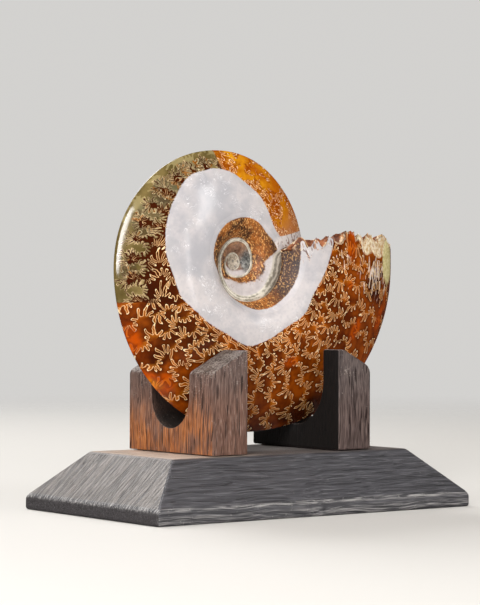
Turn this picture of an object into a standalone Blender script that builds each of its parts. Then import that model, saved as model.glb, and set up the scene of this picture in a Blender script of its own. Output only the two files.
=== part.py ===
"""A polished ammonite standing on edge in a two-block hardwood cradle.

Frame: +Z up, +X along the plinth towards the shell's broken mouth, +Y to the back. The origin is the
centre of the plinth's underside. Lengths are in metres.
"""

import math

import bmesh
import bpy
import numpy as np

# ---------------------------------------------------------------- driving dimensions
# The plinth: a plank with a low upright edge and four sloping sides.
PLINTH_LENGTH = 0.1200
PLINTH_WIDTH = 0.0710
PLINTH_HEIGHT = 0.0180
PLINTH_EDGE = 0.0042  # height of the upright edge
SLOPE_RUN_X = 0.0147  # how far the ends slope in
SLOPE_RUN_Y = 0.0134  # how far the long sides slope in
PLINTH_ROUND = 0.0009

# The two cradle blocks stand on the plinth, the same distance either side of its middle.
BLOCK_GAP = 0.0352  # clear distance between the blocks
BLOCK_THICKNESS = 0.0131
BLOCK_DEPTH = 0.0432
BLOCK_ROUND = 0.0006
BLOCK_INNER_TOP = 0.0493  # height of the tops above the table, at the inner faces
NOTCH_FLOOR = 0.0256  # lowest point of both notches above the table
LEFT_OUTER_TOP = 0.0426
LEFT_FLAT = 0.0004  # level part of the top before it slopes down and out
LEFT_NOTCH_RADIUS = 0.00985
RIGHT_OUTER_TOP = 0.0439
RIGHT_FLAT = 0.0026
RIGHT_NOTCH_RADIUS = 0.0139

SEAT_GAP = 0.0003  # clearance between pieces that rest on each other

# The shell: a flat spiral. Angles are in degrees, from +X towards +Z, and grow towards the mouth.
COIL_X = -0.0064
COIL_Z = 0.0758
MOUTH_ANGLE = 377.0
MOUTH_RADIUS = 0.0643  # from the middle of the coil to the rim at the mouth
GROWTH = 2.33  # how many times larger the coil gets in one turn
RIM_SWELL = (0.0, 0.003, 0.037, 0.057, 0.095, 0.119, 0.081, 0.060, 0.049, 0.034, 0.069, 0.057)
UMBILICUS = 0.226  # inner edge of a whorl, as a share of its rim radius
HALF_THICKNESS = 0.200  # of a whorl, as a share of its rim radius
THICKEST_AT = 0.27  # place of the greatest thickness, from inner edge (0) to rim (1)
MOUTH_RISE = 0.0092  # height of the broken edge over the middle of the coil
TOOTH_HEIGHT = 0.0012
TEETH = 9

STEPS_PER_TURN = 48
TURNS = 2.5
INNER_ROWS = 5  # rows of faces on the part of a whorl that the next one leaves bare
OUTER_ROWS = 15
MOUTH_RINGS = 3
CORE_HALF_THICKNESS = 0.0009


# ---------------------------------------------------------------- helpers
def clear_scene():
    for thing in list(bpy.data.objects):
        bpy.data.objects.remove(thing)


def new_object(name, mesh, material):
    thing = bpy.data.objects.new(name, mesh)
    thing.data.materials.append(material)
    bpy.context.scene.collection.objects.link(thing)
    return thing


def make_material(name, colour, roughness):
    material = bpy.data.materials.new(name)
    material.use_nodes = True
    surface = material.node_tree.nodes["Principled BSDF"]
    surface.inputs["Base Color"].default_value = (*colour, 1.0)
    surface.inputs["Roughness"].default_value = roughness
    surface.inputs["Metallic"].default_value = 0.0
    return material


def add_bevel(thing, width, segments):
    bevel = thing.modifiers.new("rounded edges", "BEVEL")
    bevel.width = width
    bevel.segments = segments
    bevel.limit_method = "ANGLE"
    bevel.angle_limit = math.radians(25)


def smooth_round_faces(mesh):
    mesh.shade_smooth()
    mesh.set_sharp_from_angle(angle=math.radians(35))


# ---------------------------------------------------------------- plinth
def build_plinth(wood):
    """A rectangle raised to the top of its upright edge, then drawn in to the smaller flat top."""
    shape = bmesh.new()
    half_x, half_y = PLINTH_LENGTH / 2, PLINTH_WIDTH / 2
    loops = (
        (half_x, half_y, 0.0),
        (half_x, half_y, PLINTH_EDGE),
        (half_x - SLOPE_RUN_X, half_y - SLOPE_RUN_Y, PLINTH_HEIGHT),
    )
    rings = []
    for x, y, z in loops:
        corners = ((-x, -y), (x, -y), (x, y), (-x, y))
        rings.append([shape.verts.new((cx, cy, z)) for cx, cy in corners])
    shape.faces.new(reversed(rings[0]))
    shape.faces.new(rings[-1])
    for low, high in zip(rings, rings[1:]):
        for i in range(4):
            j = (i + 1) % 4
            shape.faces.new((low[i], low[j], high[j], high[i]))
    mesh = bpy.data.meshes.new("plinth")
    shape.to_mesh(mesh)
    shape.free()
    thing = new_object("plinth", mesh, wood)
    add_bevel(thing, PLINTH_ROUND, 3)
    smooth_round_faces(mesh)


# ---------------------------------------------------------------- cradle blocks
def extrude_outline(name, outline, vector):
    """Fills a closed outline of 3-D points and extrudes it along a vector."""
    shape = bmesh.new()
    face = shape.faces.new([shape.verts.new(point) for point in outline])
    grown = bmesh.ops.extrude_face_region(shape, geom=[face])
    moved = [item for item in grown["geom"] if isinstance(item, bmesh.types.BMVert)]
    bmesh.ops.translate(shape, verts=moved, vec=vector)
    bmesh.ops.recalc_face_normals(shape, faces=shape.faces)
    mesh = bpy.data.meshes.new(name)
    shape.to_mesh(mesh)
    shape.free()
    return mesh


def build_cradle(name, side, flat, outer_top, notch_radius, wood):
    """A block with a top that slopes down and out. side is -1 for the left block and 1 for the right."""
    inner = side * BLOCK_GAP / 2
    outer = inner + side * BLOCK_THICKNESS
    foot = PLINTH_HEIGHT + SEAT_GAP
    front = -BLOCK_DEPTH / 2
    outline = (
        (inner, front, foot),
        (outer, front, foot),
        (outer, front, outer_top),
        (inner + side * flat, front, BLOCK_INNER_TOP),
        (inner, front, BLOCK_INNER_TOP),
    )
    block = new_object(name, extrude_outline(name, outline, (0, BLOCK_DEPTH, 0)), wood)
    cut_notch(block, side, notch_radius)
    add_bevel(block, BLOCK_ROUND, 2)


def cut_notch(block, side, radius):
    """Cuts a round-bottomed slot through the block along X, open at the top."""
    steps = 24
    centre_z = NOTCH_FLOOR + radius
    roof = BLOCK_INNER_TOP + radius
    start = side * (BLOCK_GAP / 2 - BLOCK_THICKNESS)
    outline = [(start, radius, roof), (start, -radius, roof)]
    for i in range(steps + 1):
        turn = math.pi + math.pi * i / steps
        y, z = radius * math.cos(turn), radius * math.sin(turn)
        outline.append((start, y, centre_z + z))
    mesh = extrude_outline(block.name + "_cutter", outline, (side * 3 * BLOCK_THICKNESS, 0, 0))
    cutter = bpy.data.objects.new(block.name + "_cutter", mesh)
    cutter.hide_render = True
    cutter.display_type = "WIRE"
    bpy.context.scene.collection.objects.link(cutter)
    notch = block.modifiers.new("notch", "BOOLEAN")
    notch.operation = "DIFFERENCE"
    notch.object = cutter


# ---------------------------------------------------------------- the shell's form
def rim_radius(angle):
    """A logarithmic spiral, swollen a little by a smooth curve through RIM_SWELL, once round the coil."""
    turns = (angle - MOUTH_ANGLE) / 360
    place = (turns % 1.0) * len(RIM_SWELL)
    first = np.floor(place).astype(int)
    t = place - first
    p0, p1, p2, p3 = (np.take(RIM_SWELL, first + k, mode="wrap") for k in (-1, 0, 1, 2))
    swell = p1 + 0.5 * t * (p2 - p0 + t * (2 * p0 - 5 * p1 + 4 * p2 - p3 + t * (3 * (p1 - p2) + p3 - p0)))
    return MOUTH_RADIUS * GROWTH**turns * (1 + swell)


# Where the next whorl's inner edge lies on a whorl, from the same share on every turn.
NEXT_EDGE = UMBILICUS * (GROWTH - 1) / (1 - UMBILICUS)


def flank_shape(share):
    """Half thickness from the thickest place out to the rim, which closes in a narrow round edge."""
    out = np.clip((share - THICKEST_AT) / (1 - THICKEST_AT), 0, 1)
    return HALF_THICKNESS * (1 - out**1.7) ** 0.77


def half_thickness(share):
    """Half thickness over rim radius, from inner edge (0) to rim (1): a steep wall, then the flank."""
    edge = flank_shape(NEXT_EDGE) / GROWTH
    rise = 1 - (1 - np.clip(share / THICKEST_AT, 0, 1)) ** 3.2
    wall = edge + (HALF_THICKNESS - edge) * rise
    return np.where(share < THICKEST_AT, wall, flank_shape(share))


def row_shares():
    """Places across a whorl: even as far as the next whorl's edge, then closing up towards the rim."""
    bare = np.linspace(0, NEXT_EDGE, INNER_ROWS + 1)
    rest = np.sin(np.linspace(0, math.pi / 2, OUTER_ROWS + 1)[1:])
    return np.concatenate([bare, NEXT_EDGE + (1 - NEXT_EDGE) * rest])


def mouth_angle_at(radius, share):
    """The shell is broken off along a level line, with small teeth that fade out at both ends."""
    teeth = np.sin(2 * math.pi * TEETH * share) * np.sin(math.pi * share)
    rise = MOUTH_RISE + TOOTH_HEIGHT * teeth
    level = 360 + np.degrees(np.arcsin(np.clip(rise / radius, -1, 1)))
    return np.minimum(MOUTH_ANGLE, level)


def shell_points():
    """Points of the front half, as an array of columns (along the spiral) by rows (inner edge to rim)."""
    columns = int(TURNS * STEPS_PER_TURN)
    angle = MOUTH_ANGLE + (np.arange(columns + 1) - columns) * 360 / STEPS_PER_TURN
    share = row_shares()
    rim = rim_radius(angle)[:, None]
    radius = rim * (UMBILICUS + (1 - UMBILICUS) * share)
    depth = rim * half_thickness(share)
    core = CORE_HALF_THICKNESS
    depth = np.where(share < 1, np.hypot(depth, core), 0.0)
    pull = np.clip(1 - (MOUTH_ANGLE - angle) / 25.0, 0, 1)[:, None]
    shift = (mouth_angle_at(radius[-1], share) - MOUTH_ANGLE) * pull
    turn = np.radians(angle[:, None] + shift)
    return np.stack(
        [COIL_X + radius * np.cos(turn), -depth, COIL_Z + radius * np.sin(turn)], axis=-1
    )


class ShellMesh:
    """Gathers the shell's vertices and faces. A whorl's inner edge is a line on the whorl before it."""

    def __init__(self):
        self.front = shell_points()
        self.columns, self.rows = self.front.shape[0] - 1, self.front.shape[1] - 1
        self.points, self.faces, self.known = [], [], {}

    def vertex(self, side, column, row):
        """The number of a grid vertex. side is -1 for the front and 1 for the back."""
        while row == 0 and column >= STEPS_PER_TURN:
            column, row = column - STEPS_PER_TURN, INNER_ROWS
        key = (0 if row == self.rows else side, column, row)
        if key not in self.known:
            x, y, z = self.front[column, row]
            self.known[key] = self.add_point((x, y if side < 0 else -y, z))
        return self.known[key]

    def add_point(self, point):
        self.points.append(point)
        return len(self.points) - 1

    def add_face(self, side, corners):
        """Adds a face seen from the front, turned round for the back, without doubled corners."""
        corners = [c for i, c in enumerate(corners) if c != corners[i - 1]]
        if len(corners) > 2:
            self.faces.append(corners if side < 0 else corners[::-1])

    def add_flanks(self):
        last_turn = self.columns - STEPS_PER_TURN
        for side in (-1, 1):
            for column in range(self.columns):
                rows = self.rows if column >= last_turn else INNER_ROWS
                for row in range(rows):
                    corners = ((0, 0), (0, 1), (1, 1), (1, 0))
                    self.add_face(side, [self.vertex(side, column + c, row + r) for c, r in corners])

    def add_middles(self):
        """Closes the eye of the coil on each side with a fan."""
        for side in (-1, 1):
            loop = [self.vertex(side, column, 0) for column in range(STEPS_PER_TURN + 1)]
            loop += [self.vertex(side, 0, row) for row in range(INNER_ROWS - 1, 0, -1)]
            eye = self.add_point((COIL_X, side * CORE_HALF_THICKNESS, COIL_Z))
            for first, second in zip(loop, loop[1:] + loop[:1]):
                self.add_face(side, [eye, first, second])

    def add_mouth(self):
        """The broken end: rings from the last section in to the whorl that it sits on."""
        last, first = self.columns, self.columns - STEPS_PER_TURN
        outer = [self.vertex(-1, last, row) for row in range(self.rows + 1)]
        outer += [self.vertex(1, last, row) for row in range(self.rows - 1, -1, -1)]
        inner = [self.vertex(-1, first, row) for row in range(INNER_ROWS, self.rows + 1)]
        inner += [self.vertex(1, first, row) for row in range(self.rows - 1, INNER_ROWS - 1, -1)]
        match = [round(i * (len(inner) - 1) / (len(outer) - 1)) for i in range(len(outer))]
        ring = outer
        for step in range(1, MOUTH_RINGS + 1):
            t = step / MOUTH_RINGS
            goal = [inner[m] for m in match]
            if step < MOUTH_RINGS:
                mixed = [self.mix(a, b, t) for a, b in zip(outer[1:-1], goal[1:-1])]
                goal = [outer[0], *mixed, outer[-1]]
            for i in range(len(outer) - 1):
                self.add_face(-1, [ring[i], ring[i + 1], goal[i + 1], goal[i]])
            ring = goal

    def mix(self, start, end, t):
        a, b = np.array(self.points[start]), np.array(self.points[end])
        return self.add_point(tuple(a + (b - a) * t))


def build_shell(stone):
    shell = ShellMesh()
    shell.add_flanks()
    shell.add_middles()
    shell.add_mouth()
    mesh = bpy.data.meshes.new("ammonite")
    mesh.from_pydata(shell.points, [], shell.faces)
    mesh.shade_smooth()
    new_object("ammonite", mesh, stone)


# ---------------------------------------------------------------- assembly
def main():
    clear_scene()
    ebonised = make_material("ebonised wood", (0.045, 0.045, 0.050), 0.55)
    scorched = make_material("scorched wood", (0.150, 0.075, 0.045), 0.60)
    stone = make_material("polished ammonite", (0.360, 0.120, 0.035), 0.12)
    build_plinth(ebonised)
    build_cradle("left_cradle", -1, LEFT_FLAT, LEFT_OUTER_TOP, LEFT_NOTCH_RADIUS, scorched)
    build_cradle("right_cradle", 1, RIGHT_FLAT, RIGHT_OUTER_TOP, RIGHT_NOTCH_RADIUS, scorched)
    build_shell(stone)


main()
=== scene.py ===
# %% [markdown]
# # A polished ammonite on its wooden cradle
#
# An ammonite is a coiled fossil shell. This one was ground down and polished until the outer wall was gone,
# so what shows is the stone that filled its chambers, and the frilled lines where the chamber walls met the
# shell. It stands on edge in two notched blocks on a low plinth.
#
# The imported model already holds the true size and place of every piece. This lesson loads it as a fixed
# frame and builds the looks around it: a finer shell worked out from the same spiral, stone that follows
# the coil, worn wood, a floor, lights and a camera.

# %% Load the frame
import math

import bmesh
import bpy
import numpy as np
from mathutils import Matrix, Vector


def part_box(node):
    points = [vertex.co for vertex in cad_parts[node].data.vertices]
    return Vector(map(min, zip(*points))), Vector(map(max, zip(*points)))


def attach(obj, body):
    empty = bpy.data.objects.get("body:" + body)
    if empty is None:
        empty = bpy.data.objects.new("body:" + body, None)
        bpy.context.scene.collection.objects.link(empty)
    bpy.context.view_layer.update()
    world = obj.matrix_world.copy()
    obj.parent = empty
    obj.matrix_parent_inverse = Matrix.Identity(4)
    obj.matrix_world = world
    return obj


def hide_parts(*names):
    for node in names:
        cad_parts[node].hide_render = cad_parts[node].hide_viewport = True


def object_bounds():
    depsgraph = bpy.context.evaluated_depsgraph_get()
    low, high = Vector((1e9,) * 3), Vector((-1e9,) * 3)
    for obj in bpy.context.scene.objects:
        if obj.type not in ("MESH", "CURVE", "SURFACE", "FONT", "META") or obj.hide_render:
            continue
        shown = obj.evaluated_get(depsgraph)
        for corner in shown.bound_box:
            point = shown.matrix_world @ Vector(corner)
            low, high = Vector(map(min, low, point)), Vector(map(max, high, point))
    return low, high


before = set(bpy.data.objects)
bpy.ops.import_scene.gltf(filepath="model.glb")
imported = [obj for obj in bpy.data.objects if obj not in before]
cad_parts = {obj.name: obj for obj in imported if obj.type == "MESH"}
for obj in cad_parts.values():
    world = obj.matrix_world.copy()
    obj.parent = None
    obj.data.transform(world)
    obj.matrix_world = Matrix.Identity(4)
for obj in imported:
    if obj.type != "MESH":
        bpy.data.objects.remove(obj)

CAD_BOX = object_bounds()
print("CAD box, mm:", [[round(1000 * c, 1) for c in corner] for corner in CAD_BOX])
print("nodes:", sorted(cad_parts))

# %% [markdown]
# ## Small helpers for numbers
#
# Several things on the fossil change gradually round the coil, such as the width of the white band. Each is
# given by a few points, and this helper draws a smooth line through them. A cubic between neighbours is
# used because it passes through every point and doesn't swing wide as one high-order curve would.

# %% A smooth line through a few points
def curve_through(points, x):
    """Height at x of a smooth line through (x, y) points: a cubic between neighbours, level past the ends.

    The slope at each point is that of the points on either side of it."""
    px, py = np.array(sorted(points), float).T
    slope = np.gradient(py, px)
    i = np.clip(np.searchsorted(px, x) - 1, 0, len(px) - 2)
    width = px[i + 1] - px[i]
    t = np.clip((x - px[i]) / width, 0, 1)
    start = (2 * t**3 - 3 * t**2 + 1) * py[i] + (t**3 - 2 * t**2 + t) * width * slope[i]
    end = (3 * t**2 - 2 * t**3) * py[i + 1] + (t**3 - t**2) * width * slope[i + 1]
    return start + end


def smooth_step(x, low, high):
    """0 below low, 1 above high, and an S-shaped ramp between them."""
    t = np.clip((x - low) / (high - low), 0, 1)
    return t * t * (3 - 2 * t)


def hill(x, middle, width):
    """A rounded bump: 1 in the middle, falling to almost nothing two widths away."""
    return np.exp(-(((x - middle) / width) ** 2))


print("a quarter of the way up the ramp:", float(smooth_step(0.25, 0.0, 1.0)))


# %% [markdown]
# ## The shell's form
#
# An ammonite grows as a logarithmic spiral: each turn is the one before it, made larger by a fixed ratio.
# So a point on the shell has just two coordinates. One is the angle round the coil, and the other is its
# share of the way across the whorl, from the inner edge (0) to the rim (1). The same formulas made the CAD
# solid, and here they are worked out on a grid five times finer. Sculpting would give a livelier surface
# but would drift from the true size, and a spiral curve with a bevel can't change its section in the way a
# shell does.

# %% Size and place, from the CAD node
low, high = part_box("ammonite")
shell_width, shell_height = high.x - low.x, high.z - low.z
COIL_X = low.x + 0.41274 * shell_width
COIL_Z = low.z + 0.60035 * shell_height
MOUTH_RADIUS = 0.59214 * shell_width  # from the middle of the coil to the rim, at the mouth
MOUTH_ANGLE = 377.0  # degrees, from +X towards +Z
LAST_START = MOUTH_ANGLE - 360  # where the last whorl begins
GROWTH = 2.33  # how many times larger the coil gets in one turn
RIM_SWELL = (  # twelve values round the coil
    0.0, 0.003, 0.037, 0.057, 0.095, 0.119, 0.081, 0.060, 0.049, 0.034, 0.069, 0.057,
)
UMBILICUS = 0.226  # inner edge of a whorl, as a share of its rim radius
HALF_THICKNESS = 0.200  # of a whorl, as a share of its rim radius
THICKEST_AT = 0.27
# where the next whorl's inner edge lies on a whorl, as a share of the way across
NEXT_EDGE = UMBILICUS * (GROWTH - 1) / (1 - UMBILICUS)
RIM_ROUND = 0.0005  # radius of the rounding along the rim
print("coil centre x and z, mouth radius, mm:", *(round(1000 * v, 2) for v in (COIL_X, COIL_Z, MOUTH_RADIUS)))


# %% Rim and thickness
def rim_radius(angle):
    """A logarithmic spiral times 1 plus a gentle swell, which is a cubic through RIM_SWELL once round."""
    turns = (angle - MOUTH_ANGLE) / 360
    place = (turns % 1.0) * len(RIM_SWELL)
    first = np.floor(place).astype(int)
    t = place - first
    p0, p1, p2, p3 = (np.take(RIM_SWELL, first + k, mode="wrap") for k in (-1, 0, 1, 2))
    swell = p1 + 0.5 * t * (p2 - p0 + t * (2 * p0 - 5 * p1 + 4 * p2 - p3 + t * (3 * (p1 - p2) + p3 - p0)))
    return MOUTH_RADIUS * GROWTH**turns * (1 + swell)


def flank_shape(share):
    """Half thickness over rim radius, from the thickest place out to the rim, where it closes."""
    out = np.clip((share - THICKEST_AT) / (1 - THICKEST_AT), 0, 1)
    return HALF_THICKNESS * (1 - out**1.7) ** 0.77


def half_thickness(share):
    """Half thickness over rim radius: a steep wall up from the inner edge, then the flank."""
    edge = flank_shape(NEXT_EDGE) / GROWTH
    rise = 1 - (1 - np.clip(share / THICKEST_AT, 0, 1)) ** 3.2
    return np.where(share < THICKEST_AT, edge + (HALF_THICKNESS - edge) * rise, flank_shape(share))


print("rim radius at the mouth, mm:", round(1000 * float(rim_radius(np.array(MOUTH_ANGLE))), 2))

# %% [markdown]
# ### Bead beside the seam
#
# Just inside the seam where one whorl overlaps the last, the older whorl carries a rounded cream bead with
# fine lines along it. It fades out where the last whorl begins, because there nothing overlaps it. It is part
# of the same surface, and not a cord laid on it, because it grew out of the shell wall.

# %% Rows across a whorl, and the bead
INNER_ROWS, OUTER_ROWS = 22, 88  # rows across a whorl, inside and outside the next whorl's edge
BEAD_HEIGHT = 0.020  # as a share of the rim radius


def row_shares():
    """Shares across a whorl: even out to the next whorl's edge, then closing up to the rim like a sine."""
    bare = np.linspace(0, NEXT_EDGE, INNER_ROWS + 1)
    rest = np.sin(np.linspace(0, math.pi / 2, OUTER_ROWS + 1)[1:])
    return np.concatenate([bare, NEXT_EDGE + (1 - NEXT_EDGE) * rest])


def across_bead(angle, share):
    """0 on the inner side of the bead and 1 at the seam. The bead is widest just before the last whorl."""
    start = 0.285 - 0.085 * hill(angle, -12, 42)
    return np.clip((share - start) / (NEXT_EDGE - start), 0, 1)


def bead_height(angle, share):
    """Raised bead over rim radius: the top half of a circle in section, with three fine ripples along it."""
    across = across_bead(angle, share)
    arch = np.sqrt(np.clip(1 - (2 * across - 1) ** 2, 0, 1))
    ripples = 1 + 0.10 * np.sin(across * 6 * math.pi)
    fade = smooth_step(LAST_START - angle, 0, 14)
    return BEAD_HEIGHT * arch * ripples * fade


print("rows across a whorl:", len(row_shares()))

# %% [markdown]
# ### Older whorls
#
# No shell keeps to one exact spiral all its life. The older whorls lie up to a millimetre and a half to one
# side of it. The shift is given by a few points along the coil and is blended across each whorl, so that
# neighbours stay joined at the seam.

# %% Shift of the older whorls
INNER_SHIFT = (  # angle, and shift along X and Z in mm
    (-793, -1.4, 0.1), (-700, -1.5, 0.1), (-540, -0.9, 0.1), (-450, -1.6, 0.6), (-360, -1.0, 0.0),
    (-270, 0.0, 0.1), (-180, 0.8, 0.0), (-90, 0.3, -0.1), (-30, -0.4, 0.0), (10, 0.0, 0.0),
)


def inner_shift(angle, share):
    """How far the inner whorls lie off the plain spiral, as (x, z) in metres.

    It is the whorl's own shift out at the next whorl's edge, and the shift of the whorl before at its inner
    edge, so that the two stay together."""
    angles, x, z = np.array(INNER_SHIFT, float).T
    own, before = (
        np.stack([curve_through(zip(angles, values), place) for values in (x, z)], axis=-1) / 1000
        for place in (angle, angle - 360)
    )
    way = smooth_step(share, 0, NEXT_EDGE)[..., None]
    return before + (own - before) * way


print("largest shift, mm:", max(abs(shift) for row in INNER_SHIFT for shift in row[1:]))

# %% [markdown]
# ### Points of the front half
#
# The spiral and the section together give every point of one flank. The columns of points stand square to the
# coil, and near the mouth they lean until the last one lies along the break.

# %% Points of the front half
STEPS, TURNS = 240, 3.25  # columns in a turn, and turns from the eye to the mouth
MOUTH_RISE = 0.0092  # height of the break above the middle of the coil
LEAN = 25.0  # degrees over which the columns lean to meet the break


def shell_points():
    """The front half as columns (along the spiral) by rows (across it), with the angle of every point.

    Depth is the section's half thickness plus the bead, joined to a round rim. Over the last LEAN degrees the
    columns lean until the last one lies on the level line of the break."""
    columns = int(TURNS * STEPS)
    angle = MOUTH_ANGLE + (np.arange(columns + 1) - columns) * 360 / STEPS
    share = row_shares()
    rim = rim_radius(angle)[:, None]
    radius = rim * (UMBILICUS + (1 - UMBILICUS) * share)
    to_rim = np.clip((1 - share) * rim * (1 - UMBILICUS) / RIM_ROUND, 0, 1)
    rounding = RIM_ROUND * np.sqrt(1 - (1 - to_rim) ** 2)
    depth = np.hypot(rim * half_thickness(share), rounding) + rim * bead_height(angle[:, None], share)
    level = 360 + np.degrees(np.arcsin(np.clip(MOUTH_RISE / radius[-1], -1, 1)))
    pull = np.clip(1 - (MOUTH_ANGLE - angle) / LEAN, 0, 1)[:, None]
    turned = angle[:, None] + (np.minimum(MOUTH_ANGLE, level) - MOUTH_ANGLE) * pull
    way = np.radians(turned)
    shift = inner_shift(*np.broadcast_arrays(angle[:, None], share))
    x = COIL_X + radius * np.cos(way) + shift[..., 0]
    z = COIL_Z + radius * np.sin(way) + shift[..., 1]
    return np.stack([x, -depth, z], axis=-1), turned, share


front, turned, share = shell_points()
print(f"front half: {front.shape[0]} columns x {front.shape[1]} rows")

# %% [markdown]
# ### The broken mouth
#
# The fossil is broken off level, along a chamber wall. A chamber wall is folded like a frill where it meets
# the shell, so the break stands up in uneven teeth along the edge. The teeth are given as heights along the
# edge, since their rhythm is irregular and noise alone would look like a saw.

# %% Raise the teeth
TEETH_REACH = 0.0042  # how far below the break the teeth still lift the surface
FRONT_TEETH = (  # share of the way from the inner edge to the rim, and height in mm
    (0.00, 1.5), (0.083, 3.0), (0.098, 2.2), (0.113, 0.3), (0.135, -1.7), (0.158, 0.8), (0.177, 1.6),
    (0.193, 0.4), (0.205, -1.7), (0.235, -2.6), (0.255, -2.3), (0.280, 1.0), (0.297, -0.3), (0.315, 0.4),
    (0.343, -2.4), (0.385, -2.7), (0.412, -1.2), (0.432, 1.1), (0.468, 1.5), (0.508, 1.2), (0.520, -0.9),
    (0.550, 0.6), (0.578, 0.1), (0.610, -1.5), (0.628, 0.3), (0.655, 0.9), (0.700, 0.4), (0.725, -1.5),
    (0.775, -0.3), (0.828, 0.8), (0.860, 0.7), (0.895, -0.1), (0.925, -1.5), (0.980, -2.2), (1.0, -4.0),
)
BACK_LOWER = 1.3  # mm by which the far edge is broken lower than the near one
BACK_TEETH = (
    (0.00, 1.2), (0.06, 2.2), (0.10, 0.2), (0.13, 1.4), (0.16, -1.2), (0.20, 0.2), (0.225, -1.9),
    (0.26, 0.3), (0.29, 1.1), (0.31, -1.4), (0.35, -0.6), (0.37, -2.2), (0.41, 0.4), (0.45, 0.9),
    (0.47, -1.3), (0.51, -0.4), (0.545, 1.0), (0.57, -1.6), (0.61, -1.0), (0.64, 0.7), (0.68, 0.2),
    (0.70, -1.7), (0.75, 0.3), (0.78, 0.8), (0.81, -1.2), (0.86, -0.4), (0.89, 0.4), (0.93, -1.9),
    (0.97, -2.6), (1.0, -4.0),
)


def raise_teeth(grid, teeth):
    """Lifts the points near the break by the height of the teeth there, fading downwards."""
    height = np.interp(share, *np.array(teeth).T) / 1000
    roughness = 0.00025 * np.sin(share * 310) + 0.0002 * np.sin(share * 173 + 2)
    below = np.linalg.norm(grid[-1] - grid, axis=-1)
    near = smooth_step(-below, -TEETH_REACH, 0.0)
    near[: -STEPS // 4] = 0
    lifted = grid.copy()
    lifted[..., 2] += near**1.5 * (height + roughness) * smooth_step(share, 0.0, 0.06)
    return lifted


front_side = raise_teeth(front, FRONT_TEETH)
back_side = raise_teeth(front, np.array(BACK_TEETH) - (0, BACK_LOWER)) * (1, -1, 1)
rim_line = (front_side[:, -1] + back_side[:, -1]) / 2
front_side[:, -1] = back_side[:, -1] = rim_line
tops = [round(1000 * float(flank[-1, :, 2].max()), 2) for flank in (front_side, back_side)]
print("top of the break in front and behind, mm:", tops)

# %% [markdown]
# ### One closed surface
#
# Both flanks are grids of numbered points. Where a whorl's inner edge lies on the whorl before it, both
# grids use the same numbers, so the surface is sewn shut with no overlap inside. The numbering is done on
# whole arrays: the inner edge of the columns after the first turn is copied from the row it lies on, one
# turn back.

# %% Faces of a grid
def quads(ids):
    """Faces of a grid of point numbers, seen with columns going right and rows going up on the front side."""
    return np.stack([ids[:-1, :-1], ids[:-1, 1:], ids[1:, 1:], ids[1:, :-1]], axis=-1).reshape(-1, 4)


def halves(faces):
    """The corners of every four-sided face as those of two triangles."""
    return np.concatenate([faces[:, [0, 1, 2]], faces[:, [0, 2, 3]]])


def has_area(triangles):
    """True for each triangle whose three corners are different points."""
    a, b, c = triangles.T
    return (a != b) & (b != c) & (a != c)


print("one square of four points as triangles:", halves(quads(np.arange(4).reshape(2, 2))).tolist())


# %% Sew the flanks
def sew_shell():
    """Point numbers by side, column and row, with the rim and the seams shared, and the points themselves."""
    columns, rows = front_side.shape[0] - 1, front_side.shape[1] - 1
    points = np.concatenate([front_side.reshape(-1, 3), back_side.reshape(-1, 3)])
    ids = np.arange(len(points)).reshape(2, columns + 1, rows + 1)
    ids[1, :, -1] = ids[0, :, -1]
    ids[:, STEPS:, 0] = ids[:, :-STEPS, INNER_ROWS]
    return ids, points


ids, points = sew_shell()
last_turn = ids.shape[1] - 1 - STEPS
corner_no = np.arange(ids[0].size).reshape(ids.shape[1:])
flank_faces, flank_corners = [], []
for side in (0, 1):
    for block in (np.s_[: last_turn + 1, : INNER_ROWS + 1], np.s_[last_turn:, :]):
        faces, corners = quads(ids[side][block]), quads(corner_no[block])
        flip = np.s_[:, ::-1] if side else np.s_[:, :]
        flank_faces.append(faces[flip])
        flank_corners.append(corners[flip])
print("faces on the flanks:", sum(map(len, flank_faces)))

# %% [markdown]
# ### The broken end
#
# Behind the teeth, the end of the last whorl is closed by rings of points, from the outline of the break in
# to the whorl that it sits on. The rings let it sag and carry folds that run in from the teeth and die away.
# One many-sided face would close it too, but flat.

# %% Rings across the break
BREAK_RINGS = 22
HOLLOW, FOLD_HEIGHT, RIPPLE_HEIGHT = 0.0032, 0.0007, 0.0005


def break_rings(ids, points):
    """Rings across the broken end, from its outer edge in to the whorl that it sits on.

    Each ring is a blend of the two outlines. The lift of the teeth fades inwards, and folds run in from
    them."""
    first = ids.shape[1] - 1 - STEPS
    outer = np.concatenate([ids[0, -1], ids[1, -1, -2::-1]])
    inner = np.concatenate([ids[0, first, INNER_ROWS:], ids[1, first, -2 : INNER_ROWS - 1 : -1]])
    match = np.rint(np.linspace(0, len(inner) - 1, len(outer))).astype(int)
    t = np.linspace(0, 1, BREAK_RINGS + 1)[:, None, None]
    edge, goal = points[outer], points[inner[match]]
    level = COIL_Z + MOUTH_RISE
    ring = edge * (1 - t) + goal * t
    tooth = edge[:, 2] - level
    along = np.linspace(0, 1, len(outer))
    folds = np.sin(along * 97 + 5 * np.sin(along * 23)) + 0.6 * np.sin(along * 211 + 2)
    depth_in = t[..., 0]
    arch = np.sin(depth_in * math.pi)  # 0 at both outlines and 1 half way between them
    fall = -HOLLOW * arch**0.8 * (1 + 0.35 * np.sin(along * 31 + 1))
    ring[..., 2] = (
        (level + tooth * (1 - depth_in) ** 2.2) * (1 - depth_in**3) + goal[:, 2] * depth_in**3
        + fall + FOLD_HEIGHT * folds * arch**0.7
        + RIPPLE_HEIGHT * np.sin(depth_in * 37 + along * 60) * arch
    )
    new = len(points) + np.arange((BREAK_RINGS - 1) * (len(outer) - 2)).reshape(BREAK_RINGS - 1, -1)
    rings = np.concatenate([outer[None], np.zeros((BREAK_RINGS - 1, len(outer)), int), inner[match][None]])
    rings[1:-1, 1:-1] = new
    rings[:, 0], rings[:, -1] = outer[0], outer[-1]
    return rings, ring[1:-1, 1:-1].reshape(-1, 3), along, t[:, 0, 0]


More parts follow.
